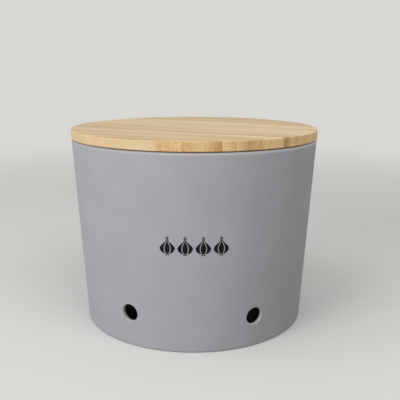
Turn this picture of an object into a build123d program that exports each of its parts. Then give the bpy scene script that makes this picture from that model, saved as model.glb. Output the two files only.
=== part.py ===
from build123d import *

import os
from math import cos, radians, sin, tan

# Onion keeper, in millimetres. +Z is up and the front faces -Y.
# The origin is the middle of the foot, on the surface that the pot stands on.

# Pot: a thin moulded shell, straight sided and wider at the rim than at the foot.
# The draft is the angle, in degrees, by which its wall leans out from upright.
pot_rim_diameter = 199.4
pot_height = 149.1
wall_draft = 3.385
pot_wall = 3.0
pot_floor = 3.0
base_edge_radius = 1.2
cavity_corner_radius = 6.0
rim_outer_rounding = 1.8
rim_inner_rounding = 0.5

# Underside of the pot: a shallow recess that leaves a ring to stand on
foot_ring_width = 6.0
foot_recess_depth = 1.2
foot_recess_rounding = 0.5

# Air vents, drilled level through the wall and evenly spaced round the pot. The ring that they lie
# on isn't quite level: it leans down to the right by a small angle.
vent_diameter = 13.4
vent_height = 25.6
vent_count = 6
first_vent_angle = 28.9
vent_ring_lean = 1.2
vent_edge_rounding = 0.4

# Lid: a disc turned from one glued board, stepped in below to make a plug. The ring round the
# plug grips the pot's wall and holds the lid this far clear of the rim, which shows as a dark slit.
lid_overhang = 0.3
lid_slit = 0.5
lid_rim_height = 7.2
lid_top_chamfer = 0.7
lid_bottom_chamfer = 0.5
plug_clearance = 1.0
plug_flange_height = 1.5
plug_chamfer = 0.8

# Staves of the lid's board, set upright and glued side by side. The board is divided evenly,
# into staves as near to this width as its diameter allows.
stave_target_width = 6.25
grain_angle = 25.0

# Groove round the plug, and the soft ring that sits in it
groove_below_lid = 1.5
groove_height = 3.0
groove_depth = 1.2
seal_seat_clearance = 0.05
seal_wall_clearance = 0.3
lip_count = 2
lip_root_height = 0.9
lip_tip_height = 0.4
lip_lift = 0.5

# Sizes that follow from those above
pot_rim_radius = pot_rim_diameter / 2
taper = tan(radians(wall_draft))
pot_base_radius = pot_rim_radius - taper * pot_height
level_wall = pot_wall / cos(radians(wall_draft))
floor_height = foot_recess_depth + pot_floor
lid_radius = pot_rim_radius + lid_overhang
lid_underside = pot_height + lid_slit
groove_top = lid_underside - groove_below_lid
groove_bottom = groove_top - groove_height
plug_bottom = groove_bottom - plug_flange_height


def cavity_radius(height):
    """The pot's inside radius at a height, one wall in from its outside."""
    return pot_base_radius + taper * height - level_wall


plug_radius = cavity_radius(plug_bottom) - plug_clearance
groove_radius = plug_radius - groove_depth

os.makedirs("parts", exist_ok=True)

# Pot
with BuildPart() as pot:
    # Outside of the shell
    with BuildSketch(Plane.XZ):
        with BuildLine():
            Polyline(
                (0, 0),
                (pot_base_radius, 0),
                (pot_rim_radius, pot_height),
                (0, pot_height),
                close=True,
            )
        make_face()
    revolve(axis=Axis.Z)
    fillet(pot.edges().group_by(Axis.Z)[0], radius=base_edge_radius)

    # Space for the onions
    with BuildSketch(Plane.XZ):
        with BuildLine():
            Polyline(
                (0, floor_height),
                (cavity_radius(floor_height), floor_height),
                (cavity_radius(pot_height), pot_height),
                (0, pot_height),
                close=True,
            )
        make_face()
    revolve(axis=Axis.Z, mode=Mode.SUBTRACT)
    cavity_corner = pot.edges(Select.LAST).filter_by(GeomType.CIRCLE).group_by(Axis.Z)[0]
    fillet(cavity_corner, radius=cavity_corner_radius)

    # Rounded lip, with a narrow flat land left at its top
    rim_edges = pot.edges().group_by(Axis.Z)[-1].sort_by(SortBy.RADIUS)
    fillet(rim_edges[-1], radius=rim_outer_rounding)
    rim_edges = pot.edges().group_by(Axis.Z)[-1].sort_by(SortBy.RADIUS)
    fillet(rim_edges[0], radius=rim_inner_rounding)

    # Recess under the floor, which leaves the foot ring
    with BuildSketch(Plane.XY):
        Circle(pot_base_radius - base_edge_radius - foot_ring_width)
    extrude(amount=foot_recess_depth, mode=Mode.SUBTRACT)
    fillet(pot.edges(Select.LAST).group_by(Axis.Z)[-1], radius=foot_recess_rounding)

    # Air vents
    for number in range(vent_count):
        angle = radians(first_vent_angle + number * 360 / vent_count)
        outward = Vector(sin(angle), -cos(angle), 0)
        drop = pot_base_radius * tan(radians(vent_ring_lean)) * sin(angle)
        with BuildSketch(Plane(origin=(0, 0, vent_height - drop), z_dir=outward)):
            Circle(vent_diameter / 2)
        extrude(amount=pot_rim_radius, mode=Mode.SUBTRACT)
        fillet(pot.edges(Select.LAST), radius=vent_edge_rounding)

pot.part.label = "pot"
export_step(pot.part, "parts/pot.step")

# Board of the lid, turned to its round and stepped shape before it is divided into its staves
with BuildPart() as board:
    with BuildSketch(Plane.XY.offset(lid_underside)):
        Circle(lid_radius)
    extrude(amount=lid_rim_height)
    chamfer(board.edges().group_by(Axis.Z)[-1], length=lid_top_chamfer)
    chamfer(board.edges().group_by(Axis.Z)[0], length=lid_bottom_chamfer)

    # Plug, which clears the pot's wall even at its lower end, where the pot is narrower
    with BuildSketch(Plane.XY.offset(plug_bottom)):
        Circle(plug_radius)
    extrude(amount=lid_underside - plug_bottom)
    chamfer(board.edges().group_by(Axis.Z)[0], length=plug_chamfer)

    # Groove for the sealing ring
    with BuildSketch(Plane.XY.offset(groove_bottom)):
        Circle(plug_radius)
        Circle(groove_radius, mode=Mode.SUBTRACT)
    extrude(amount=groove_height, mode=Mode.SUBTRACT)

# Staves of the lid, from the front left to the back right
grain = Vector(cos(radians(grain_angle)), -sin(radians(grain_angle)), 0)
across = Vector(sin(radians(grain_angle)), cos(radians(grain_angle)), 0)
stave_count = round(2 * lid_radius / stave_target_width)
stave_width = 2 * lid_radius / stave_count


def glue_plane(line):
    """The plane between one stave and the next, looking across the board."""
    distance = (line - stave_count / 2) * stave_width
    return Plane(origin=across * distance, x_dir=grain, z_dir=across)


for number in range(1, stave_count + 1):
    stave_name = f"lid_stave_{number:02d}"
    with BuildPart() as stave:
        add(board.part)
        if number > 1:
            split(bisect_by=glue_plane(number - 1), keep=Keep.TOP)
        if number < stave_count:
            split(bisect_by=glue_plane(number), keep=Keep.BOTTOM)
    stave.part.label = stave_name
    export_step(stave.part, f"parts/{stave_name}.step")

# Sealing ring: a band that fills the groove, with soft lips that reach for the pot's wall
with BuildPart() as seal_ring:
    with BuildSketch(Plane.XZ):
        with BuildLine():
            Polyline(
                (groove_radius + seal_seat_clearance, groove_bottom),
                (plug_radius, groove_bottom),
                (plug_radius, groove_top),
                (groove_radius + seal_seat_clearance, groove_top),
                close=True,
            )
        make_face()
        for lip in range(lip_count):
            lip_root = groove_bottom + lip * groove_height / lip_count
            lip_tip = lip_root + lip_lift
            lip_reach = cavity_radius(lip_tip) - seal_wall_clearance
            with BuildLine():
                Polyline(
                    (plug_radius, lip_root),
                    (lip_reach, lip_tip),
                    (lip_reach, lip_tip + lip_tip_height),
                    (plug_radius, lip_root + lip_root_height),
                    close=True,
                )
            make_face()
    revolve(axis=Axis.Z)

seal_ring.part.label = "seal_ring"
export_step(seal_ring.part, "parts/seal_ring.step")
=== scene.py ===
import random
from math import asin, atan2, cos, pi, radians, sin, sqrt, tan

import bmesh
import bpy
from bpy.props import FloatProperty, FloatVectorProperty, IntProperty, PointerProperty
from mathutils import Matrix, Vector


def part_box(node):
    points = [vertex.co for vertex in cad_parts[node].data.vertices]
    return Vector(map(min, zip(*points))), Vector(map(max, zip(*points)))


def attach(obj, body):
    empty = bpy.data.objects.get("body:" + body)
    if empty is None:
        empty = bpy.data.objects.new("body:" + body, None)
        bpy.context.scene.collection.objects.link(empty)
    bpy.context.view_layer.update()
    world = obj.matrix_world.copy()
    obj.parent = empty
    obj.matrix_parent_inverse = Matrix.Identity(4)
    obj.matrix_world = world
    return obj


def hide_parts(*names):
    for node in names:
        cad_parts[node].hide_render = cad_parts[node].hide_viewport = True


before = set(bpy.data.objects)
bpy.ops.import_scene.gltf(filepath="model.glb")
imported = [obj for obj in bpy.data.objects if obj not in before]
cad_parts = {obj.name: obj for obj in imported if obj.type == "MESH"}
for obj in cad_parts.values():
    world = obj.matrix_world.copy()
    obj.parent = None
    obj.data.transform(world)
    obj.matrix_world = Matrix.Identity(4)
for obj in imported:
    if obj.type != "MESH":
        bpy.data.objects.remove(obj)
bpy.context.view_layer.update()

bl_info = {
    "name": "Onion Keeper",
    "version": (1, 0, 0),
    "blender": (4, 5, 0),
    "location": "3D View > Sidebar > Onion Keeper",
    "description": "A moulded onion pot with air vents and a lid of glued bamboo staves",
    "category": "Add Mesh",
}

mm = 0.001

# Places that come from the frame: the pot, its lid, the staves of the lid and the sealing ring
pot_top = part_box("pot")[1].z
stave_nodes = sorted(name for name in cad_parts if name.startswith("lid_stave_"))
lid_top = max(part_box(name)[1].z for name in stave_nodes)
lid_radius = max(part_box(name)[1].x for name in stave_nodes)
plug_bottom = min(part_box(name)[0].z for name in stave_nodes)
seal_bottom, seal_top = (corner.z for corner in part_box("seal_ring"))

# The staves share the lid's diameter evenly
stave_width = 2 * lid_radius / len(stave_nodes)


def linear(hex_colour):
    """An sRGB hex colour as the linear red, green, blue and alpha that Blender's sockets hold."""
    values = [int(hex_colour[place:place + 2], 16) / 255 for place in (1, 3, 5)]
    return (*[v / 12.92 if v <= 0.04045 else ((v + 0.055) / 1.055) ** 2.4 for v in values], 1.0)


def length(name, description, default):
    """A size in metres for a settings group."""
    return FloatProperty(
        name=name, description=description, default=default, min=0.0, precision=5, unit="LENGTH"
    )


def angle(name, description, default):
    """An angle for a settings group, given here in degrees."""
    return FloatProperty(name=name, description=description, default=radians(default), subtype="ANGLE")


def power(name, description, default):
    """A lamp's power in watts for a settings group."""
    return FloatProperty(name=name, description=description, default=default, unit="POWER")


def colour(name, description, hex_colour):
    """A colour for a settings group."""
    return FloatVectorProperty(
        name=name, description=description, default=linear(hex_colour), size=4, min=0.0, max=1.0,
        subtype="COLOR",
    )


class PotSettings(bpy.types.PropertyGroup):
    """Sizes and colours of the moulded pot."""

    rim_diameter: length("Rim diameter", "Across the outside of the rim", 199.4 * mm)
    height: length("Height", "From the foot to the rim", pot_top)
    draft: angle("Draft", "How far the wall leans out from upright", 3.385)
    wall: length("Wall", "Thickness of the wall", 3.0 * mm)
    floor: length("Floor", "Thickness of the floor", 3.0 * mm)
    base_rounding: length("Base rounding", "Radius round the foot", 1.2 * mm)
    corner_rounding: length("Corner rounding", "Radius inside, where wall meets floor", 6.0 * mm)
    rim_outer_rounding: length("Outer rim rounding", "Radius on the outside of the rim", 1.8 * mm)
    rim_inner_rounding: length("Inner rim rounding", "Radius on the inside of the rim", 0.5 * mm)
    foot_width: length("Foot width", "Width of the ring that the pot stands on", 6.0 * mm)
    recess_depth: length("Recess depth", "Depth of the recess inside the foot", 1.2 * mm)
    recess_rounding: length("Recess rounding", "Radius round the recess", 0.5 * mm)
    vent_diameter: length("Vent diameter", "Bore of an air vent", 13.4 * mm)
    vent_height: length("Vent height", "From the foot to the middle of a vent", 25.6 * mm)
    vent_rounding: length("Vent rounding", "Radius round both ends of a vent", 0.4 * mm)
    vent_count: IntProperty(name="Vents", description="Air vents round the pot", default=6, min=1)
    first_vent: angle("First vent", "Place of the first vent, right of the front", 28.9)
    vent_lean: angle("Vent lean", "How far the ring of vents leans down to the right", 1.2)
    body_colour: colour("Body", "Colour of the moulded body", "#A7A6AB")
    fleck_colour: colour("Fleck", "Colour of the filler where it shows", "#949297")
    cut_and_highlight_colour: colour("Cut", "Colour of the drilled bores, also painted on the rim as a highlight", "#C4C2C2")
    # Painted highlight: the band along the rim that takes on the pale colour
    highlight_band: length("Rim highlight", "Height of the band of painted highlight at the rim", 2.2 * mm)


class LidSettings(bpy.types.PropertyGroup):
    """Sizes and colours of the bamboo lid."""

    slit: length("Slit", "Between the pot's rim and the lid that its ring holds up", 0.5 * mm)
    top_rounding: length("Top rounding", "Radius on the upper arris", 0.7 * mm)
    bottom_rounding: length("Bottom rounding", "Radius on the lower arris", 0.5 * mm)
    plug_rounding: length("Plug rounding", "Radius round the bottom of the plug", 0.8 * mm)
    plug_clearance: length("Plug clearance", "Between the plug's lower end and the pot", 1.0 * mm)
    groove_depth: length("Groove depth", "Depth of the seal's groove", 1.2 * mm)
    groove_rounding: length("Groove rounding", "Radius on the groove's edges", 0.25 * mm)
    grain: angle("Grain", "How far the staves are turned from left to right, towards the front", 25.0)
    pale_colour: colour("Pale bamboo", "Colour of the palest staves", "#EBD6AA")
    deep_colour: colour("Deep bamboo", "Colour of the deepest staves", "#AF8B58")
    end_colour: colour("End grain", "Tint that the sawn ends take on", "#FFF0DC")
    bundle_colour: colour("Fibre bundle", "Colour of the fibre bundles", "#AE7339")
    warm_colour: colour("Warm tint", "Tint of the warmer strips of the board", "#FFF0DA")
    # Painted sheen: a pale colour laid on the level faces for the reflection of light that they show
    painted_sheen_colour: colour("Painted sheen", "Colour painted on the level faces as their sheen", "#E8E2D8")
    glue_colour: colour("Glue line", "Colour of the glue between staves", "#8A6A45")


class SealSettings(bpy.types.PropertyGroup):
    """Sizes and colour of the sealing ring."""

    seat_clearance: length("Seat clearance", "Between the ring and its groove", 0.05 * mm)
    wall_clearance: length("Wall clearance", "Between the lips and the pot's wall", 0.3 * mm)
    lip_root: length("Lip root", "Thickness of a lip where it leaves the band", 0.9 * mm)
    lip_tip: length("Lip tip", "Thickness of a lip at its tip", 0.4 * mm)
    lip_lift: length("Lip lift", "How far a lip rises to its tip", 0.5 * mm)
    lip_count: IntProperty(name="Lips", description="Lips round the ring", default=2, min=1)
    edge_rounding: length("Edge rounding", "Radius on the ring's edges", 0.12 * mm)
    silicone_colour: colour("Silicone", "Colour of the ring", "#E4E2DA")


class PrintSettings(bpy.types.PropertyGroup):
    """Sizes and colours of the row of onions printed on the front."""

    width: length("Width", "Width of the row", 49.0 * mm)
    onion_width: length("Onion width", "Width of one onion", 10.8 * mm)
    tall: length("Height", "Height of one onion", 14.5 * mm)
    centre_height: length("Centre height", "From the foot to the middle of the row", 83.0 * mm)
    line_width: length("Line width", "Gap left between two scales of an onion", 0.6 * mm)
    proud: length("Proud", "How far the ink stands off the wall", 0.06 * mm)
    count: IntProperty(name="Onions", description="Onions in the row", default=4, min=2)
    ink_colour: colour("Ink", "Colour of the ink", "#0E0F13")
    starved_colour: colour("Starved ink", "Colour of the ink where it is thin", "#6E6E73")


class StageSettings(bpy.types.PropertyGroup):
    """Floor, lights and surroundings."""

    floor_radius: length("Floor radius", "Radius of the floor", 3.0)
    shown_radius: length("Shown radius", "Where the floor has faded out of sight", 1.2)
    key_power: power("Key", "Power of the low light on the left", 11.7)
    top_power: power("Top", "Power of the light above", 3.4)
    fill_power: power("Fill", "Power of the weak light on the right", 1.9)
    ambient: FloatProperty(name="Ambient", description="Strength of the light all round", default=0.55)
    floor_colour: colour("Floor", "Colour of the floor", "#DAD9D6")
    bounce_colour: colour("Bounce", "Colour of the light that the floor sends up", "#6A6967")
    backdrop_colour: colour("Backdrop", "Colour behind the object", "#D8D7D4")
    light_colour: colour("Light", "Colour of the lights", "#FFFFFF")


def settings(name):
    """One of this add-on's settings groups."""
    return getattr(bpy.context.scene, "onion_keeper_" + name)


def add_node(tree, kind, inputs=None, output=0, **settings):
    """Adds a node with its settings, fills its inputs with values or links, and returns one output."""
    node = tree.nodes.new(kind)
    for name, value in settings.items():
        setattr(node, name, value)
    for key, value in (inputs or {}).items():
        if isinstance(value, bpy.types.NodeSocket):
            tree.links.new(value, node.inputs[key])
        else:
            node.inputs[key].default_value = value
    return node.outputs[output] if len(node.outputs) else node


# The Mix node's colour sockets by number, because they share their names with its other sockets
mix_a, mix_b, mix_colour = 6, 7, 2


def new_material(name):
    """An empty material, and the tree of nodes to fill."""
    material = bpy.data.materials.new(name)
    material.use_nodes = True
    material.node_tree.nodes.clear()
    return material, material.node_tree


def seen_rays(tree):
    """1 for the rays that show a thing to the camera, straight or in a reflection, and 0 for its light."""
    rays = add_node(tree, "ShaderNodeLightPath").node.outputs
    seen = add_node(tree, "ShaderNodeMath", {
        0: rays["Is Camera Ray"], 1: rays["Is Glossy Ray"],
    }, operation="MAXIMUM")
    return add_node(tree, "ShaderNodeMath", {0: seen, 1: rays["Is Transmission Ray"]}, operation="MAXIMUM")


def melamine_material(pot):
    """Bamboo-fibre melamine, pressed in a blasted steel die.

    It is dense and matt with a soft broad sheen, and its filler shows as a very faint fleck. Along the rim
    runs a band of painted highlight, stronger on its right. The vents are drilled, which takes the pressed
    skin off and leaves their bores a little paler.
    """
    material, tree = new_material("melamine_pressed_matt")
    place = add_node(tree, "ShaderNodeTexCoord", output="Object")
    fleck_size, cloud_size, grain_size = 0.9 * mm, 28 * mm, 0.45 * mm
    right_highlight = 0.8  # how far the rim's band of painted highlight takes on the pale colour at its right side

    fleck = add_node(tree, "ShaderNodeTexNoise", {
        "Vector": place, "Scale": 1 / fleck_size, "Detail": 3.0, "Roughness": 0.6,
    })
    fleck = add_node(tree, "ShaderNodeMapRange", {
        "Value": fleck, "From Min": 0.52, "From Max": 0.78, "To Max": 0.32,
    }, interpolation_type="SMOOTHSTEP")
    cloud = add_node(tree, "ShaderNodeTexNoise", {"Vector": place, "Scale": 1 / cloud_size, "Detail": 2.0})
    cloud = add_node(tree, "ShaderNodeMapRange", {
        "Value": cloud, "From Min": 0.3, "From Max": 0.7, "To Min": 0.965, "To Max": 1.03,
    })
    flecked = add_node(tree, "ShaderNodeMix", {
        0: fleck, mix_a: pot.body_colour, mix_b: pot.fleck_colour,
    }, mix_colour, data_type="RGBA")
    base = add_node(tree, "ShaderNodeVectorMath", {0: flecked, 1: cloud}, operation="MULTIPLY")

    # Painted highlight: a pale band along the top of the rim, growing towards the right. The drilled bores
    # are paler too.
    to_right, _, height = add_node(tree, "ShaderNodeSeparateXYZ", {0: place}).node.outputs
    highlight_by_side = add_node(tree, "ShaderNodeMapRange", {
        "Value": to_right, "From Min": -lid_radius, "From Max": lid_radius, "To Max": right_highlight,
    })
    highlight_band = add_node(tree, "ShaderNodeMapRange", {
        "Value": height, "From Min": pot.height - 1.5 * pot.highlight_band,
        "From Max": pot.height - 0.5 * pot.highlight_band, "To Max": highlight_by_side,
    }, interpolation_type="SMOOTHSTEP")
    drilled = add_node(tree, "ShaderNodeAttribute", output="Fac", attribute_name="drilled")
    cut = add_node(tree, "ShaderNodeMath", {0: highlight_band, 1: drilled}, operation="MAXIMUM")
    base = add_node(tree, "ShaderNodeMix", {
        0: cut, mix_a: base, mix_b: pot.cut_and_highlight_colour,
    }, mix_colour, data_type="RGBA")

    grain = add_node(tree, "ShaderNodeTexNoise", {"Vector": place, "Scale": 1 / grain_size, "Detail": 2.0})
    polish = add_node(tree, "ShaderNodeMapRange", {
        "Value": grain, "From Min": 0.3, "From Max": 0.7, "To Min": 0.66, "To Max": 0.80,
    })
    relief = add_node(tree, "ShaderNodeBump", {"Height": grain, "Strength": 0.25, "Distance": 0.03 * mm})
    shader = add_node(tree, "ShaderNodeBsdfPrincipled", {
        "Base Color": base, "Roughness": polish, "Normal": relief, "IOR": 1.5,
    })
    add_node(tree, "ShaderNodeOutputMaterial", {"Surface": shader})
    return material


def bamboo_surfaces(tree, lid):
    """How far the surface is a sawn end of a stave, and how far it is the turned rim, each from 0 to 1."""
    normal = add_node(tree, "ShaderNodeNewGeometry", output="Normal")
    grain = (cos(lid.grain), -sin(lid.grain), 0.0)
    facing = add_node(tree, "ShaderNodeVectorMath", {0: normal, 1: grain}, "Value", operation="DOT_PRODUCT")

    # End grain shows wherever the rim faces the staves' right ends, and only far round at their left ends
    ends = [
        add_node(tree, "ShaderNodeMapRange", {
            "Value": facing, "From Min": first, "From Max": full, "To Max": most,
        }, interpolation_type="SMOOTHSTEP")
        for first, full, most in ((0.16, 0.20, 1.0), (-0.86, -0.96, 0.8))
    ]
    end = add_node(tree, "ShaderNodeMath", {0: ends[0], 1: ends[1]}, operation="MAXIMUM")

    slope = add_node(tree, "ShaderNodeSeparateXYZ", {0: normal}, "Z")
    slope = add_node(tree, "ShaderNodeMath", {0: slope}, operation="ABSOLUTE")
    rim = add_node(tree, "ShaderNodeMapRange", {
        "Value": slope, "From Min": 0.85, "From Max": 0.35,
    }, interpolation_type="SMOOTHSTEP")
    return end, rim


def fibre_bundles(tree, place, depth):
    """Where the fibre bundles are: thick and close near the cane's skin, thin and sparse near its pith."""
    spacing = 1.0 * mm  # near the pith, and half of it at the skin
    run = 55 * mm  # along the cane, before a bundle gives way to another
    closer = add_node(tree, "ShaderNodeMath", {0: depth, 1: 0.5 * stave_width}, operation="MULTIPLY")
    closer = add_node(tree, "ShaderNodeMath", {0: closer, 1: depth}, operation="MULTIPLY")
    closer = add_node(tree, "ShaderNodeCombineXYZ", {"Y": closer})
    rods = add_node(tree, "ShaderNodeVectorMath", {0: place, 1: closer}, operation="ADD")
    rods = add_node(tree, "ShaderNodeVectorMath", {
        0: rods, 1: (1 / run, 1 / spacing, 1 / spacing),
    }, operation="MULTIPLY")
    rods = add_node(tree, "ShaderNodeTexVoronoi", {
        "Vector": rods, "Scale": 1.0, "Randomness": 0.75,
    }, "Distance")
    thickness = add_node(tree, "ShaderNodeMapRange", {"Value": depth, "To Min": 0.34, "To Max": 0.56})
    bundle = add_node(tree, "ShaderNodeMath", {0: thickness, 1: rods}, operation="SUBTRACT")
    return add_node(tree, "ShaderNodeMapRange", {
        "Value": bundle, "From Min": -0.08, "From Max": 0.14,
    }, interpolation_type="SMOOTHSTEP")


def cane_knot(tree, along, knot):
    """A knot of the cane: a thin dark line across the stave, in a slightly darker band."""
    away = add_node(tree, "ShaderNodeMath", {0: along, 1: knot}, operation="SUBTRACT")
    away = add_node(tree, "ShaderNodeMath", {0: away}, operation="ABSOLUTE")
    band, line = (
        add_node(tree, "ShaderNodeMapRange", {
            "Value": away, "From Min": reach, "From Max": core, "To Max": share,
        }, interpolation_type="SMOOTHSTEP")
        for reach, core, share in ((3.5 * mm, 0.0, 0.16), (0.7 * mm, 0.2 * mm, 0.22))
    )
    return add_node(tree, "ShaderNodeMath", {0: band, 1: line}, operation="ADD")


def painted_slit_shade(tree, lid, up, rim):
    """Painted shade on the rim's lower arris, next to the slit, where the slit's shadow falls."""
    underside = pot_top + lid.slit
    low = add_node(tree, "ShaderNodeMapRange", {
        "Value": up, "From Min": underside + 0.6 * mm, "From Max": underside + 0.2 * mm, "To Max": 0.7,
    }, interpolation_type="SMOOTHSTEP")
    return add_node(tree, "ShaderNodeMath", {0: low, 1: rim}, operation="MULTIPLY")


def glue_lines(tree, across, over, end, rim):
    """The glue between two staves, drawn 0.2 mm wide so that it shows.

    Some lines are dark and most are faint, most of all on the rim where it has no end grain. The two
    outermost lines are the board's own edges, which have no glue.
    """
    number = add_node(tree, "ShaderNodeMath", {0: across, 1: stave_width}, operation="DIVIDE")
    number = add_node(tree, "ShaderNodeMath", {0: number}, operation="ROUND")
    strength = add_node(tree, "ShaderNodeTexWhiteNoise", {"W": number}, noise_dimensions="1D")
    strength = add_node(tree, "ShaderNodeMapRange", {
        "Value": strength, "From Min": 0.4, "From Max": 1.0, "To Min": 0.22, "To Max": 0.75,
    })
    from_middle = add_node(tree, "ShaderNodeMath", {0: number}, operation="ABSOLUTE")
    glued = add_node(tree, "ShaderNodeMath", {
        0: from_middle, 1: (len(stave_nodes) - 1) / 2,
    }, operation="LESS_THAN")
    strength = add_node(tree, "ShaderNodeMath", {0: strength, 1: glued}, operation="MULTIPLY")

    side = add_node(tree, "ShaderNodeMath", {0: over, 1: stave_width / 2}, operation="SUBTRACT")
    side = add_node(tree, "ShaderNodeMath", {0: side}, operation="ABSOLUTE")
    glue = add_node(tree, "ShaderNodeMapRange", {
        "Value": side, "From Min": stave_width / 2 - 0.18 * mm, "From Max": stave_width / 2 - 0.05 * mm,
        "To Max": strength,
    }, interpolation_type="SMOOTHSTEP")
    plain_rim = add_node(tree, "ShaderNodeMath", {0: rim, 1: end}, operation="SUBTRACT")
    pull = add_node(tree, "ShaderNodeMapRange", {"Value": plain_rim, "To Min": 1.0, "To Max": 0.3})
    return add_node(tree, "ShaderNodeMath", {0: glue, 1: pull}, operation="MULTIPLY")


def bamboo_material(lid):
    """Bamboo strips set on edge, glued, turned, sanded fine and oiled.

    The fibre bundles run the length of each stave. They show as fine brown lines on its long faces and as
    dots on its sawn ends, thick near the skin of the cane and sparse near its pith. Oil makes it satin.
    """
    material, tree = new_material("bamboo_sanded_oiled")
    place, looks = (
        add_node(tree, "ShaderNodeAttribute", output="Vector", attribute_name=name)
        for name in ("stave_place", "stave_looks")
    )
    along, over, up = add_node(tree, "ShaderNodeSeparateXYZ", {0: place}).node.outputs
    end_tone, face_tone, knot = add_node(tree, "ShaderNodeSeparateXYZ", {0: looks}).node.outputs
    end, rim = bamboo_surfaces(tree, lid)

    # From the pith's side of the cane, at 0, to its skin, at 1
    depth = add_node(tree, "ShaderNodeMath", {0: over, 1: stave_width}, operation="DIVIDE")

    # The fibres wander a little from side to side along the cane
    wander = add_node(tree, "ShaderNodeVectorMath", {
        0: place, 1: (1 / (80 * mm), 1 / (7 * mm), 1 / (7 * mm)),
    }, operation="MULTIPLY")
    wander = add_node(tree, "ShaderNodeTexNoise", {"Vector": wander, "Scale": 1.0, "Detail": 1.0}, "Color")
    wander = add_node(tree, "ShaderNodeVectorMath", {
        0: wander, 1: (0.0, 0.5 * mm, 0.5 * mm), 2: place,
    }, operation="MULTIPLY_ADD")
    bundle = fibre_bundles(tree, wander, depth)

    object_place = add_node(tree, "ShaderNodeTexCoord", output="Object")
    across = add_node(tree, "ShaderNodeVectorMath", {
        0: object_place, 1: (sin(lid.grain), cos(lid.grain), 0.0),
    }, "Value", operation="DOT_PRODUCT")
    board_place = add_node(tree, "ShaderNodeCombineXYZ", {"X": along, "Y": across})

    # Soft streaks a few millimetres wide, fine fibre between the bundles, and broad bands over the board,
    # each with the size of its blotches along the cane, across it and up it
    noise, swing = {}, {}
    for name, where, sizes, detail in (
        ("streak", wander, (140 * mm, 2.4 * mm, 3.5 * mm), 2.0),
        ("fibre", wander, (30 * mm, 0.35 * mm, 0.35 * mm), 2.0),
        ("band", board_place, (160 * mm, 11 * mm, 11 * mm), 1.0),
    ):
        stretched = add_node(tree, "ShaderNodeVectorMath", {
            0: where, 1: [1 / size for size in sizes],
        }, operation="MULTIPLY")
        noise[name] = add_node(tree, "ShaderNodeTexNoise", {
            "Vector": stretched, "Scale": 1.0, "Detail": detail,
        })
        swing[name] = add_node(tree, "ShaderNodeMath", {0: noise[name], 1: 0.5}, operation="SUBTRACT")

    # How much of each thing shows on level faces, and how much on the turned rim
    pull = {
        name: add_node(tree, "ShaderNodeMapRange", {"Value": rim, "To Min": on_level, "To Max": on_rim})
        for name, on_level, on_rim in (
            ("ground", 0.46, 0.34), ("tone", 0.42, 0.0), ("band", 0.85, 0.2), ("streak", 0.75, 0.2),
            ("painted_sheen", 0.09, 0.0), ("bundle", 0.26, 0.12),
        )
    }

    # Depth of colour, from pale at 0 to deep at 1. A sawn end is paler than the rest, and on it a stave's
    # own tone shows more, and the skin's side is deeper than the pith's.
    skin_side = add_node(tree, "ShaderNodeMath", {0: depth, 1: 0.5}, operation="SUBTRACT")
    skin_side = add_node(tree, "ShaderNodeMath", {0: skin_side, 1: 0.4}, operation="MULTIPLY")
    end_pull = add_node(tree, "ShaderNodeMath", {0: end, 1: 0.55}, operation="MULTIPLY")
    level = pull["ground"]
    for amount, share in (
        (end, -0.25), (end, skin_side), (end_tone, end_pull), (face_tone, pull["tone"]),
        (swing["band"], pull["band"]), (swing["streak"], pull["streak"]), (swing["fibre"], 0.38),
    ):
        level = add_node(tree, "ShaderNodeMath", {0: amount, 1: share, 2: level}, operation="MULTIPLY_ADD")
    wood = add_node(tree, "ShaderNodeMix", {
        0: level, mix_a: lid.pale_colour, mix_b: lid.deep_colour,
    }, mix_colour, data_type="RGBA")

    # The deeper a level face, the warmer it is
    warmth = add_node(tree, "ShaderNodeMath", {
        0: face_tone, 1: pull["tone"], 2: swing["band"],
    }, operation="MULTIPLY_ADD")
    warmth = add_node(tree, "ShaderNodeMapRange", {
        "Value": warmth, "From Min": 0.0375, "From Max": 0.35,
    })

    # Bundles are faint along the rim, and clearer on level faces and on the ends
    bundle_pull = add_node(tree, "ShaderNodeMath", {
        0: end, 1: 0.31, 2: pull["bundle"],
    }, operation="MULTIPLY_ADD")
    bundle_share = add_node(tree, "ShaderNodeMath", {0: bundle, 1: bundle_pull}, operation="MULTIPLY")

    # What tints the wood, and then what lies on it or runs through it: a painted sheen on the level faces,
    # fibre bundles, painted shade by the slit, knots and glue
    for share, over_colour, blend in (
        (end, lid.end_colour, "MULTIPLY"),
        (warmth, lid.warm_colour, "MULTIPLY"),
        (pull["painted_sheen"], lid.painted_sheen_colour, "MIX"),
        (bundle_share, lid.bundle_colour, "MIX"),
        # Painted shade by the slit, in the fibre bundles' colour
        (painted_slit_shade(tree, lid, up, rim), lid.bundle_colour, "MIX"),
        (cane_knot(tree, along, knot), lid.bundle_colour, "MIX"),
        (glue_lines(tree, across, over, end, rim), lid.glue_colour, "MIX"),
    ):
        wood = add_node(tree, "ShaderNodeMix", {
            0: share, mix_a: wood, mix_b: over_colour,
        }, mix_colour, data_type="RGBA", blend_type=blend)

    polish = add_node(tree, "ShaderNodeMapRange", {
        "Value": noise["fibre"], "From Min": 0.25, "From Max": 0.75, "To Min": 0.54, "To Max": 0.68,
    })
    height = add_node(tree, "ShaderNodeMath", {
        0: bundle, 1: 0.6, 2: noise["fibre"],
    }, operation="MULTIPLY_ADD")
    relief = add_node(tree, "ShaderNodeBump", {"Height": height, "Strength": 0.35, "Distance": 0.05 * mm})
    shader = add_node(tree, "ShaderNodeBsdfPrincipled", {
        "Base Color": wood, "Roughness": polish, "Normal": relief, "IOR": 1.5,
    })
    add_node(tree, "ShaderNodeOutputMaterial", {"Surface": shader})
    return material


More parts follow.
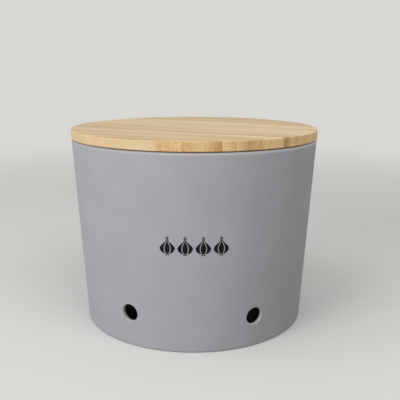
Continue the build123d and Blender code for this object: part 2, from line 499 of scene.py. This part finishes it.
def silicone_material(seal):
    """Silicone rubber, cast in a polished mould: milky, slightly clear at its thin lips, and satin."""
    material, tree = new_material("silicone_cast_milky")
    place = add_node(tree, "ShaderNodeTexCoord", output="Object")
    bloom_size, dust_size = 6 * mm, 0.5 * mm
    bloom = add_node(tree, "ShaderNodeTexNoise", {"Vector": place, "Scale": 1 / bloom_size, "Detail": 3.0})
    bloom = add_node(tree, "ShaderNodeMapRange", {
        "Value": bloom, "From Min": 0.3, "From Max": 0.7, "To Min": 0.93, "To Max": 1.04,
    })
    base = add_node(tree, "ShaderNodeVectorMath", {
        0: seal.silicone_colour[:3], 1: bloom,
    }, operation="MULTIPLY")
    dust = add_node(tree, "ShaderNodeTexNoise", {"Vector": place, "Scale": 1 / dust_size, "Detail": 2.0})
    polish = add_node(tree, "ShaderNodeMapRange", {
        "Value": dust, "From Min": 0.3, "From Max": 0.7, "To Min": 0.36, "To Max": 0.5,
    })
    relief = add_node(tree, "ShaderNodeBump", {"Height": dust, "Strength": 0.15, "Distance": 0.02 * mm})
    shader = add_node(tree, "ShaderNodeBsdfPrincipled", {
        "Base Color": base, "Roughness": polish, "Normal": relief, "IOR": 1.41,
        "Subsurface Weight": 0.35, "Subsurface Radius": (1.0, 0.95, 0.85), "Subsurface Scale": 1.0 * mm,
    })
    add_node(tree, "ShaderNodeOutputMaterial", {"Surface": shader})
    return material


def ink_material(row):
    """Pad-printed ink: a thin near-black film, duller and slightly starved where the wall is rough."""
    material, tree = new_material("ink_pad_printed")
    place = add_node(tree, "ShaderNodeTexCoord", output="Object")
    pit_size = 0.4 * mm
    starved = add_node(tree, "ShaderNodeTexNoise", {"Vector": place, "Scale": 1 / pit_size, "Detail": 3.0})
    starved = add_node(tree, "ShaderNodeMapRange", {
        "Value": starved, "From Min": 0.55, "From Max": 0.8, "To Max": 0.08,
    })
    base = add_node(tree, "ShaderNodeMix", {
        0: starved, mix_a: row.ink_colour, mix_b: row.starved_colour,
    }, mix_colour, data_type="RGBA")
    shader = add_node(tree, "ShaderNodeBsdfPrincipled", {
        "Base Color": base, "Roughness": 0.65, "IOR": 1.48, "Specular IOR Level": 0.15,
    })
    add_node(tree, "ShaderNodeOutputMaterial", {"Surface": shader})
    return material


def floor_material(stage):
    """Painted board: flat, pale and even. It fades to clear further out, so that no edge shows.

    To the camera it is dull, and fades out sooner than for the light, before it comes near the lamps.
    """
    material, tree = new_material("board_painted")
    place = add_node(tree, "ShaderNodeTexCoord", output="Object")
    mottle_size = 90 * mm
    mottle = add_node(tree, "ShaderNodeTexNoise", {
        "Vector": place, "Scale": 1 / mottle_size, "Detail": 2.0,
    })
    mottle = add_node(tree, "ShaderNodeMapRange", {"Value": mottle, "To Min": 0.985, "To Max": 1.015})

    # The gloss, and where the fade begins and ends, for the light and for the camera
    seen = seen_rays(tree)
    gloss, near, far = (
        add_node(tree, "ShaderNodeMapRange", {"Value": seen, "To Min": for_light, "To Max": for_camera})
        for for_light, for_camera in (
            (0.5, 0.0),
            (stage.floor_radius * 0.2, stage.shown_radius * 0.3),
            (stage.floor_radius * 0.95, stage.shown_radius),
        )
    )
    base = add_node(tree, "ShaderNodeMix", {
        0: seen, mix_a: stage.bounce_colour, mix_b: stage.floor_colour,
    }, mix_colour, data_type="RGBA")
    base = add_node(tree, "ShaderNodeVectorMath", {0: base, 1: mottle}, operation="MULTIPLY")
    shader = add_node(tree, "ShaderNodeBsdfPrincipled", {
        "Base Color": base, "Roughness": 0.7, "Specular IOR Level": gloss,
    })
    reach = add_node(tree, "ShaderNodeVectorMath", {0: place}, "Value", operation="LENGTH")
    fade = add_node(tree, "ShaderNodeMapRange", {
        "Value": reach, "From Min": near, "From Max": far,
    }, interpolation_type="SMOOTHSTEP")
    clear = add_node(tree, "ShaderNodeBsdfTransparent")
    both = add_node(tree, "ShaderNodeMixShader", {0: fade, 1: shader, 2: clear})
    add_node(tree, "ShaderNodeOutputMaterial", {"Surface": both})
    return material


def pot_outside(height):
    """The pot's outer radius at a height."""
    pot = settings("pot")
    return pot.rim_diameter / 2 - tan(pot.draft) * (pot.height - height)


def pot_inside(height):
    """The pot's inner radius at a height, one wall in from its outside."""
    pot = settings("pot")
    return pot_outside(height) - pot.wall / cos(pot.draft)


def around(radius, bearing, height):
    """The place at this radius and height, at a bearing that is 0 in front and grows to the right."""
    return radius * sin(bearing), -radius * cos(bearing), height


def even_bearings(count, first=0.0):
    """Bearings spaced evenly all round, from the first one."""
    return [first + 2 * pi * step / count for step in range(count)]


def rounded_outline(corners, steps=6, closed=False):
    """Points along an outline of (radius, height, rounding) corners, with arcs at the rounded ones."""
    points = []
    for number, (radius, height, rounding) in enumerate(corners):
        here = Vector((radius, height))
        at_end = not closed and number in (0, len(corners) - 1)
        if rounding == 0 or at_end:
            points.append(here)
            continue
        back = (Vector(corners[number - 1][:2]) - here).normalized()
        ahead = (Vector(corners[(number + 1) % len(corners)][:2]) - here).normalized()
        half = back.angle(ahead) / 2
        reach = rounding / tan(half)
        centre = here + (back + ahead).normalized() * rounding / sin(half)
        first, last = here + back * reach - centre, here + ahead * reach - centre
        points += [centre + first.slerp(last, step / steps) * rounding for step in range(steps + 1)]
    return points


def add_rows(outline, heights, tall):
    """The outline with a point at each of these heights on its stretches that are over this tall."""
    rows = []
    for start, stop in zip(outline, outline[1:]):
        rows.append(start)
        rise = stop.y - start.y
        if abs(rise) > tall:
            inside = [h for h in heights if min(start.y, stop.y) < h < max(start.y, stop.y)]
            inside.sort(reverse=rise < 0)
            rows += [start.lerp(stop, (h - start.y) / rise) for h in inside]
    return rows + [outline[-1]]


def join_rings(bm, ring, other):
    """Quads between two closed rings of as many vertices."""
    count = len(ring)
    for here in range(count):
        after = (here + 1) % count
        bm.faces.new((ring[here], ring[after], other[after], other[here]))


def smooth(bm):
    """Shades every face of the mesh smooth."""
    for face in bm.faces:
        face.smooth = True


def turn(bm, outline, segments, closed=False):
    """Turns an outline about the upright axis, shaded smooth. An open one gets a face at each end."""
    bearings = even_bearings(segments)
    rings = [[bm.verts.new(around(point.x, b, point.y)) for b in bearings] for point in outline]
    for ring, other in zip(rings, rings[1:]):
        join_rings(bm, ring, other)
    if closed:
        join_rings(bm, rings[-1], rings[0])
    else:
        bm.faces.new(rings[0])
        bm.faces.new(rings[-1])
    smooth(bm)


def add_object(name, data):
    """An object of this data, linked to the scene."""
    made = bpy.data.objects.new(name, data)
    bpy.context.scene.collection.objects.link(made)
    return made


def mesh_object(bm, name, material):
    """An object of this mesh, with its faces turned outwards."""
    bmesh.ops.recalc_face_normals(bm, faces=bm.faces)
    mesh = bpy.data.meshes.new(name)
    bm.to_mesh(mesh)
    bm.free()
    mesh.materials.append(material)
    return add_object(name, mesh)


def finish_piece(bm, name, material, body, nodes=()):
    """Makes a piece of the mesh, evens its shading, ties it to its body, and hides the CAD nodes that it
    stands for.
    """
    piece = mesh_object(bm, name, material)
    weights = piece.modifiers.new("even_normals", "WEIGHTED_NORMAL")
    weights.keep_sharp = True
    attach(piece, body)
    if nodes:
        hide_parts(*nodes)
    return piece


class ONION_OT_pot(bpy.types.Operator):
    """Build the pot: one thin shell with a rounded rim, a foot ring and air vents"""

    bl_idname = "onion_keeper.pot"
    bl_label = "Pot"

    window = 12.0 * mm  # from a vent's middle to the edge of the square of mesh that holds it
    on_edge = 0.001 * mm  # a row this near that edge lies on it
    cells = 16  # along each side of the square
    cells_between = 24  # from one square to the next
    rows_above = 9  # from the squares to the rim
    vent_steps = 5  # from a square to the mouth of its vent, and round the mouth's edge
    flat_radius = 60.0 * mm  # of the plain disc in the middle of the floor
    bore_paleness = 0.65  # how far a drilled bore takes on the colour of the cut

    def outline(self, pot, low, high):
        """The wall's section, from under the floor, up the outside and down the inside."""
        recess_radius = pot_outside(0) - pot.base_rounding - pot.foot_width
        floor_top = pot.recess_depth + pot.floor
        corners = [
            (self.flat_radius, pot.recess_depth, 0),
            (recess_radius, pot.recess_depth, pot.recess_rounding),
            (recess_radius, 0, pot.recess_rounding / 2),
            (pot_outside(0), 0, pot.base_rounding),
            (pot_outside(pot.height), pot.height, pot.rim_outer_rounding),
            (pot_inside(pot.height), pot.height, pot.rim_inner_rounding),
            (pot_inside(floor_top), floor_top, pot.corner_rounding),
            (self.flat_radius, floor_top, 0),
        ]
        heights = [low + (high - low) * step / self.cells for step in range(self.cells + 1)]
        above = pot.height - high
        heights += [high + above * step / self.rows_above for step in range(1, self.rows_above)]
        return add_rows(rounded_outline(corners, 8), heights, pot.height / 2)

    def columns(self, pot, bearings):
        """Bearings of the mesh's columns, the same number over each vent's square and between two."""
        half = asin(self.window / pot_outside(pot.vent_height))
        gap = 2 * pi / pot.vent_count - 2 * half
        columns = []
        for bearing in bearings:
            for start, width, count in (
                (bearing - half, 2 * half, self.cells), (bearing + half, gap, self.cells_between),
            ):
                columns += [start + width * step / count for step in range(count)]
        return columns

    def shell(self, bm, outline, columns, edges):
        """The wall's grid of vertices, with faces everywhere but in the vents' squares."""
        stride = self.cells + self.cells_between
        inside_rows = {*range(edges[0] + 1, edges[1]), *range(edges[2] + 1, edges[3])}
        square_rows = {*range(edges[0], edges[1]), *range(edges[2], edges[3])}
        grid = []
        for row, point in enumerate(outline):
            ring = []
            for column, bearing in enumerate(columns):
                left_out = row in inside_rows and 0 < column % stride < self.cells
                ring.append(None if left_out else bm.verts.new(around(point.x, bearing, point.y)))
            grid.append(ring)
        for row, (ring, other) in enumerate(zip(grid, grid[1:])):
            for column in range(len(columns)):
                if row in square_rows and column % stride < self.cells:
                    continue
                after = (column + 1) % len(columns)
                bm.faces.new((ring[column], ring[after], other[after], other[column]))
        bm.faces.new(grid[0])
        bm.faces.new(grid[-1])
        return grid

    def vent_rings(self, pot, bearing, rims):
        """Rings of places from a vent's outer square, through its bore, to its inner square.

        Each comes with how far it takes on the colour of the cut.
        """
        outward = Vector((sin(bearing), -cos(bearing), 0))
        side = Vector((cos(bearing), sin(bearing), 0))
        middle = pot.vent_height - pot_outside(0) * tan(pot.vent_lean) * sin(bearing)
        edge = pot.vent_rounding
        mouth = pot.vent_diameter / 2 + edge
        turns = [atan2(vertex.co.z - middle, vertex.co.dot(side)) for vertex in rims[0]]
        circle = [(cos(turned), sin(turned)) for turned in turns]

        def on_wall(surface, s, z, sink=0.0):
            """The place this far to the side and this high, sunk this far into a surface of the wall."""
            return outward * (sqrt(surface(z) ** 2 - s * s) + sink) + side * s + Vector((0, 0, z))

        def patch(rim, surface):
            """Rings from the square to the mouth of the vent."""
            rings = []
            for share in [step / self.vent_steps for step in range(1, self.vent_steps)]:
                ring = []
                for vertex, (across, up) in zip(rim, circle):
                    s = vertex.co.dot(side) * (1 - share) + mouth * across * share
                    z = vertex.co.z * (1 - share) + (middle + mouth * up) * share
                    ring.append(on_wall(surface, s, z))
                rings.append(ring)
            return rings

        def lip(surface, inwards):
            """Rings round the mouth's rounded edge, down to the bore."""
            rings = []
            for bend in [pi / 2 * step / self.vent_steps for step in range(self.vent_steps + 1)]:
                radius = mouth - edge * sin(bend)
                sink = inwards * edge * (1 - cos(bend))
                rings.append([on_wall(surface, radius * a, middle + radius * u, sink) for a, u in circle])
            return rings

        outer, inner = lip(pot_outside, -1), lip(pot_inside, 1)
        through = [
            [a.lerp(b, share) for a, b in zip(outer[-1], inner[-1])] for share in (0.25, 0.5, 0.75)
        ]
        moulded_outside = patch(rims[0], pot_outside) + outer[:1]
        bored = outer[1:] + through + inner[:0:-1]
        moulded_inside = inner[:1] + patch(rims[1], pot_inside)[::-1]
        paleness = [0.0] * len(moulded_outside) + [self.bore_paleness] * len(bored)
        paleness += [0.0] * len(moulded_inside)
        return zip(moulded_outside + bored + moulded_inside, paleness)

    def vent(self, bm, pot, grid, walls, first, bearing):
        """Fills a vent's two squares and joins them through its bore."""
        drilled = bm.verts.layers.float["drilled"]
        last = first + self.cells
        rims = []
        for rows in walls:
            rim = [grid[rows[0]][column] for column in range(first, last)]
            rim += [grid[row][last] for row in rows[:-1]]
            rim += [grid[rows[-1]][column] for column in range(last, first, -1)]
            rim += [grid[row][first] for row in rows[:0:-1]]
            rims.append(rim)
        rings = [rims[0]]
        for places, paleness in self.vent_rings(pot, bearing, rims):
            ring = [bm.verts.new(place) for place in places]
            for vertex in ring:
                vertex[drilled] = paleness
            rings.append(ring)
        rings.append(rims[1])
        for ring, other in zip(rings, rings[1:]):
            join_rings(bm, ring, other)

    def execute(self, context):
        pot = settings("pot")
        low, high = pot.vent_height - self.window, pot.vent_height + self.window
        outline = self.outline(pot, low, high)
        bearings = even_bearings(pot.vent_count, pot.first_vent)
        bm = bmesh.new()
        bm.verts.layers.float.new("drilled")

        # Rows on the edges of the squares, up the outside and then down the inside
        edges = [
            row for row, point in enumerate(outline)
            if min(abs(point.y - low), abs(point.y - high)) < self.on_edge
        ]
        grid = self.shell(bm, outline, self.columns(pot, bearings), edges)
        walls = [range(edges[0], edges[1] + 1), range(edges[3], edges[2] - 1, -1)]
        for number, bearing in enumerate(bearings):
            self.vent(bm, pot, grid, walls, number * (self.cells + self.cells_between), bearing)
        smooth(bm)
        finish_piece(bm, "onion_pot", melamine_material(pot), "pot", ["pot"])
        return {"FINISHED"}


class ONION_OT_lid(bpy.types.Operator):
    """Build the lid: a turned board of bamboo staves, each a piece of its own"""

    bl_idname = "onion_keeper.lid"
    bl_label = "Bamboo lid"

    segments = 360
    flat_width = 4.0 * mm  # from the edge of the disc to the plain face that fills it
    on_line = 0.001 * mm  # a vertex this near a glue line lies on it, so that the cut leaves no sliver

    # Staves that stand out, counted from the front left: how deep their sawn ends are, how deep their
    # tops are, and which edge the skin of their cane is on. On both scales 1 is the deepest, and the
    # usual is a little below 0.
    deep_ends = {1: 0.4, 2: 0.4, 3: 0.7, 4: 0.2, 5: 0.3, 6: 0.6, 7: 0.1, 10: 0.9}
    deep_tops = {8: -0.65, 9: -0.7, 10: 0.0, 11: 0.05}
    skin_in_front = {1: True, 3: False, 6: True}
    usual_end = (-0.5, -0.2)
    usual_top = (-0.6, 0.0)
    deeper_sides = 0.8  # how much deeper the board's outer staves are on top than its middle ones
    knot_reach = (0.05, 0.25)  # metres from a stave's middle to its knot, which may lie beyond its end

    def board_outline(self, lid):
        """The board's section, from under the plug to the middle of its top."""
        plug_radius = pot_inside(plug_bottom) - lid.plug_clearance
        groove_radius = plug_radius - lid.groove_depth
        return rounded_outline([
            (plug_radius - self.flat_width, plug_bottom, 0),
            (plug_radius, plug_bottom, lid.plug_rounding),
            (plug_radius, seal_bottom, lid.groove_rounding),
            (groove_radius, seal_bottom, 0),
            (groove_radius, seal_top, 0),
            (plug_radius, seal_top, lid.groove_rounding),
            (plug_radius, pot_top + lid.slit, 0),
            (lid_radius, pot_top + lid.slit, lid.bottom_rounding),
            (lid_radius, lid_top, lid.top_rounding),
            (lid_radius - self.flat_width, lid_top, 0),
        ])

    def cut(self, bm, line, across, keep_left):
        """Cuts the mesh at a glue line, keeps one side, and fills the cut with a flat face."""
        cut = bmesh.ops.bisect_plane(
            bm, geom=bm.verts[:] + bm.edges[:] + bm.faces[:], plane_no=across,
            plane_co=across * self.line_distance(line), dist=self.on_line,
            clear_outer=keep_left, clear_inner=not keep_left,
        )
        edges = [item for item in cut["geom_cut"] if isinstance(item, bmesh.types.BMEdge)]
        for face in bmesh.ops.edgeloop_fill(bm, edges=edges)["faces"]:
            face.smooth = False

    def line_distance(self, line):
        """How far behind the lid's middle a glue line lies. The front edge of the board is line 0."""
        return (line - len(stave_nodes) / 2) * stave_width

    def mark(self, piece, places, looks):
        """Keeps each vertex's place in its stave, and the stave's looks, for the grain to follow."""
        for name, values in (("stave_place", places), ("stave_looks", looks * len(places))):
            held = piece.data.attributes.new(name, "FLOAT_VECTOR", "POINT")
            held.data.foreach_set("vector", [number for value in values for number in value])

    def execute(self, context):
        lid = settings("lid")
        material = bamboo_material(lid)
        grain = Vector((cos(lid.grain), -sin(lid.grain), 0))
        across = Vector((sin(lid.grain), cos(lid.grain), 0))
        draw = random.Random(7)
        board = bmesh.new()
        turn(board, self.board_outline(lid), self.segments)

        for number, node in enumerate(stave_nodes, 1):
            bm = board.copy()
            if number > 1:
                self.cut(bm, number - 1, across, keep_left=False)
            if number < len(stave_nodes):
                self.cut(bm, number, across, keep_left=True)
            shift = draw.uniform(1.0, 3.0)
            off_middle = abs(2 * number - 1 - len(stave_nodes)) / len(stave_nodes)
            end_tone = self.deep_ends.get(number, draw.uniform(*self.usual_end))
            face_tone = self.deep_tops.get(number, draw.uniform(*self.usual_top))
            face_tone += self.deeper_sides * off_middle
            skin_first = self.skin_in_front.get(number, draw.random() < 0.5)
            knot = shift + draw.choice((-1, 1)) * draw.uniform(*self.knot_reach)
            piece = finish_piece(bm, node.replace("lid", "bamboo"), material, "lid", [node])

            # Places are along, across and up the stave. Across runs from the pith's side of the cane.
            places = []
            for vertex in piece.data.vertices:
                over = vertex.co.dot(across) - self.line_distance(number - 1)
                over = stave_width - over if skin_first else over
                places.append((vertex.co.dot(grain) + shift, over, vertex.co.z))
            self.mark(piece, places, [(end_tone, face_tone, knot)])
        board.free()
        return {"FINISHED"}


class ONION_OT_seal(bpy.types.Operator):
    """Build the sealing ring: a band in the plug's groove, with soft lips that reach for the wall"""

    bl_idname = "onion_keeper.seal"
    bl_label = "Sealing ring"

    segments = 360

    def execute(self, context):
        lid, seal = settings("lid"), settings("seal")
        edge = seal.edge_rounding
        plug_radius = pot_inside(plug_bottom) - lid.plug_clearance
        seat_radius = plug_radius - lid.groove_depth + seal.seat_clearance
        corners = [(seat_radius, seal_bottom, edge), (plug_radius, seal_bottom, edge)]
        for lip in range(seal.lip_count):
            root = seal_bottom + lip * (seal_top - seal_bottom) / seal.lip_count
            tip = root + seal.lip_lift
            reach = pot_inside(tip) - seal.wall_clearance
            if lip > 0:
                corners.append((plug_radius, root, 0))
            corners += [
                (reach, tip, edge),
                (reach, tip + seal.lip_tip, edge),
                (plug_radius, root + seal.lip_root, 0),
            ]
        corners += [(plug_radius, seal_top, edge), (seat_radius, seal_top, edge)]
        bm = bmesh.new()
        turn(bm, rounded_outline(corners, 4, closed=True), self.segments, closed=True)
        finish_piece(bm, "silicone_seal", silicone_material(seal), "lid", ["seal_ring"])
        return {"FINISHED"}


class ONION_OT_print(bpy.types.Operator):
    """Print a row of plain onions on the front of the pot"""

    bl_idname = "onion_keeper.print"
    bl_label = "Front print"

    # Shape of an onion, as shares of its width and of its height
    bulb_low, bulb_high = -0.42, 0.34
    scales = ((-1.0, -0.42), (-0.42, 0.42), (0.42, 1.0))  # left and right edges, of half the bulb's width
    shoots = ((-0.13, 0.42), (0.0, 0.5), (0.13, 0.42))  # how far each leans aside, and how high it reaches
    shoot_half, shoot_taper = 0.05, 0.7  # half its width at its start, and the part that its tip loses
    roots = (-0.1, -0.035, 0.035, 0.1)  # how far each leans aside
    root_half, root_taper = 0.03, 0.5
    root_low = -0.5
    belly = 0.38  # height of the widest place, of the bulb's
    neck = 0.12  # half width of the neck, of half the bulb's
    foot = 0.012  # where the scales start, of the bulb's height, so that they have a width there

    def strip(self, bm, left, right, centre):
        """A thin closed slab of ink between two lines of points, laid on the curved wall."""
        row = settings("print")
        rims = []
        for sink in (row.proud, -row.proud / 2):
            layer = []
            for a, b in zip(left, right):
                line = []
                for share in (0, 0.25, 0.5, 0.75, 1):
                    point = a.lerp(b, share)
                    height = row.centre_height + point.y
                    radius = pot_outside(height)
                    line.append(bm.verts.new(around(radius + sink, (centre + point.x) / radius, height)))
                layer.append(line)
            for low, high in zip(layer, layer[1:]):
                for here in range(len(low) - 1):
                    bm.faces.new((low[here], low[here + 1], high[here + 1], high[here]))
            rim = layer[0] + [line[-1] for line in layer[1:-1]] + layer[-1][::-1]
            rims.append(rim + [line[0] for line in layer[-2:0:-1]])
        join_rings(bm, *rims)

    def half_width(self, share):
        """The bulb's half width at a share of its height, round below its belly and drawn in above it."""
        if share < self.belly:
            return sqrt(1 - ((self.belly - share) / self.belly) ** 2)
        drawn_in = 0.5 + 0.5 * cos(pi * (share - self.belly) / (1 - self.belly))
        return self.neck + (1 - self.neck) * drawn_in

    def scale(self, bm, row, first, last, centre):
        """One of the curved scales that the bulb shows, with half of the gap left at each inner edge."""
        steps = 28
        low = self.bulb_low * row.tall
        tall = (self.bulb_high - self.bulb_low) * row.tall
        left, right = [], []
        for share in [self.foot + (1 - self.foot) * step / steps for step in range(steps + 1)]:
            half = row.onion_width / 2 * self.half_width(share)
            a, b = first * half, last * half
            trim = min(row.line_width / 2, (b - a) * 0.2)
            left.append(Vector((a + (0 if first == -1.0 else trim), low + tall * share)))
            right.append(Vector((b - (0 if last == 1.0 else trim), low + tall * share)))
        self.strip(bm, left, right, centre)

    def blade(self, bm, middles, start, stop, half, taper, centre):
        """A tapered blade that follows its middles from one height to another."""
        left, right = [], []
        for step, middle in enumerate(middles):
            share = step / (len(middles) - 1)
            height = start + (stop - start) * share
            tapered = half * (1 - taper * share)
            left.append(Vector((middle - tapered, height)))
            right.append(Vector((middle + tapered, height)))
        self.strip(bm, left, right, centre)

    def onion(self, bm, row, centre):
        """One onion: a bulb of three curved scales, three shoots at its neck, and a tuft of roots."""
        wide, tall, gap = row.onion_width, row.tall, row.line_width
        for first, last in self.scales:
            self.scale(bm, row, first, last, centre)
        start, half = self.bulb_high * tall + 0.3 * gap, self.shoot_half * wide
        for lean, reach in self.shoots:
            middles = [lean * wide * (0.3 + 0.7 * (step / 8) ** 1.6) for step in range(9)]
            self.blade(bm, middles, start, reach * tall, half, self.shoot_taper, centre)
        start, half = self.bulb_low * tall - 0.2 * gap, self.root_half * wide
        for lean in self.roots:
            middles = [lean * wide * (0.7 + 0.9 * step / 6) for step in range(7)]
            self.blade(bm, middles, start, self.root_low * tall, half, self.root_taper, centre)

    def execute(self, context):
        row = settings("print")
        pitch = (row.width - row.onion_width) / (row.count - 1)
        bm = bmesh.new()
        for number in range(row.count):
            self.onion(bm, row, (number - (row.count - 1) / 2) * pitch)
        finish_piece(bm, "front_print", ink_material(row), "pot")
        return {"FINISHED"}


class ONION_OT_stage(bpy.types.Operator):
    """Set the stage: a pale floor, soft light from the upper left, and the camera"""

    bl_idname = "onion_keeper.stage"
    bl_label = "Stage"

    # Camera, in pixels of a 400 pixel square picture, in metres and in degrees
    picture = 400
    focal_length = 590
    eye = Vector((0.0, -0.489, 0.2045))
    look_down, look_right, roll = 12.66, 0.566, 0.183
    nearest = 0.01

    # Lamps: each one's power, the side of its square and its place, all facing the middle of the pot
    lamps = {
        "key_softbox": ("key_power", 0.8, (-1.02, -1.02, 0.48)),
        "top_softbox": ("top_power", 0.9, (-0.68, -0.317, 1.374)),
        "fill_softbox": ("fill_power", 0.5, (0.3, -0.5, 0.75)),
    }
    aim = Vector((0.0, 0.0, 0.075))
    floor_segments = 96

    def floor(self, stage):
        bm = bmesh.new()
        edge = [around(stage.floor_radius, bearing, 0) for bearing in even_bearings(self.floor_segments)]
        bm.faces.new([bm.verts.new(place) for place in edge])
        mesh_object(bm, "floor", floor_material(stage))

    def lamp(self, stage, name):
        power_name, size, place = self.lamps[name]
        data = bpy.data.lights.new(name, "AREA")
        data.shape = "SQUARE"
        data.size = size
        data.energy = getattr(stage, power_name)
        data.color = stage.light_colour[:3]
        lamp = add_object(name, data)
        lamp.location = place
        lamp.rotation_mode = "QUATERNION"
        lamp.rotation_quaternion = (self.aim - Vector(place)).to_track_quat("-Z", "Y")

    def world(self, stage):
        world = bpy.data.worlds.new("studio")
        world.use_nodes = True
        tree = world.node_tree
        tree.nodes.clear()
        light = add_node(tree, "ShaderNodeBackground", {
            "Color": stage.light_colour, "Strength": stage.ambient,
        })
        backdrop = add_node(tree, "ShaderNodeBackground", {
            "Color": stage.backdrop_colour, "Strength": 1.0,
        })
        both = add_node(tree, "ShaderNodeMixShader", {0: seen_rays(tree), 1: light, 2: backdrop})
        add_node(tree, "ShaderNodeOutputWorld", {"Surface": both})
        bpy.context.scene.world = world

    def camera(self):
        pitch, yaw, roll = radians(self.look_down), radians(self.look_right), radians(self.roll)
        forward = Vector((sin(yaw) * cos(pitch), cos(yaw) * cos(pitch), -sin(pitch)))
        level = Vector((cos(yaw), -sin(yaw), 0))
        upright = level.cross(forward)
        right = level * cos(roll) + upright * sin(roll)
        up = upright * cos(roll) - level * sin(roll)
        data = bpy.data.cameras.new("camera")
        data.lens = data.sensor_width * self.focal_length / self.picture
        data.clip_start = self.nearest
        camera = add_object("camera", data)
        turned = Matrix((right, up, -forward)).transposed().to_4x4()
        camera.matrix_world = Matrix.Translation(self.eye) @ turned
        bpy.context.scene.camera = camera

    def execute(self, context):
        stage = settings("stage")
        self.camera()
        self.floor(stage)
        self.world(stage)
        for name in self.lamps:
            self.lamp(stage, name)
        context.scene.view_settings.view_transform = "Standard"
        return {"FINISHED"}


class ONION_PT_panel(bpy.types.Panel):
    """The add-on's buttons and settings, in the 3D view's sidebar"""

    bl_idname = "ONION_PT_panel"
    bl_label = "Onion Keeper"
    bl_space_type = "VIEW_3D"
    bl_region_type = "UI"
    bl_category = "Onion Keeper"

    def draw(self, context):
        for name, group, operator in build_order:
            box = self.layout.box()
            box.operator(operator.bl_idname)
            for key in group.__annotations__:
                box.prop(settings(name), key)


# Each settings group's name and class, and the operator that it serves, in the order that they run in
build_order = (
    ("stage", StageSettings, ONION_OT_stage),
    ("pot", PotSettings, ONION_OT_pot),
    ("lid", LidSettings, ONION_OT_lid),
    ("seal", SealSettings, ONION_OT_seal),
    ("print", PrintSettings, ONION_OT_print),
)
groups = [group for name, group, operator in build_order]
operators = [operator for name, group, operator in build_order]
classes = (*groups, *operators, ONION_PT_panel)


def register():
    for each in classes:
        bpy.utils.register_class(each)
    for name, group, operator in build_order:
        setattr(bpy.types.Scene, "onion_keeper_" + name, PointerProperty(type=group))


def unregister():
    for name, group, operator in build_order:
        delattr(bpy.types.Scene, "onion_keeper_" + name)
    for each in reversed(classes):
        bpy.utils.unregister_class(each)


def main():
    register()
    bpy.ops.onion_keeper.stage()
    bpy.ops.onion_keeper.pot()
    bpy.ops.onion_keeper.lid()
    bpy.ops.onion_keeper.seal()
    bpy.ops.onion_keeper.print()


if __name__ == "__main__":
    main()
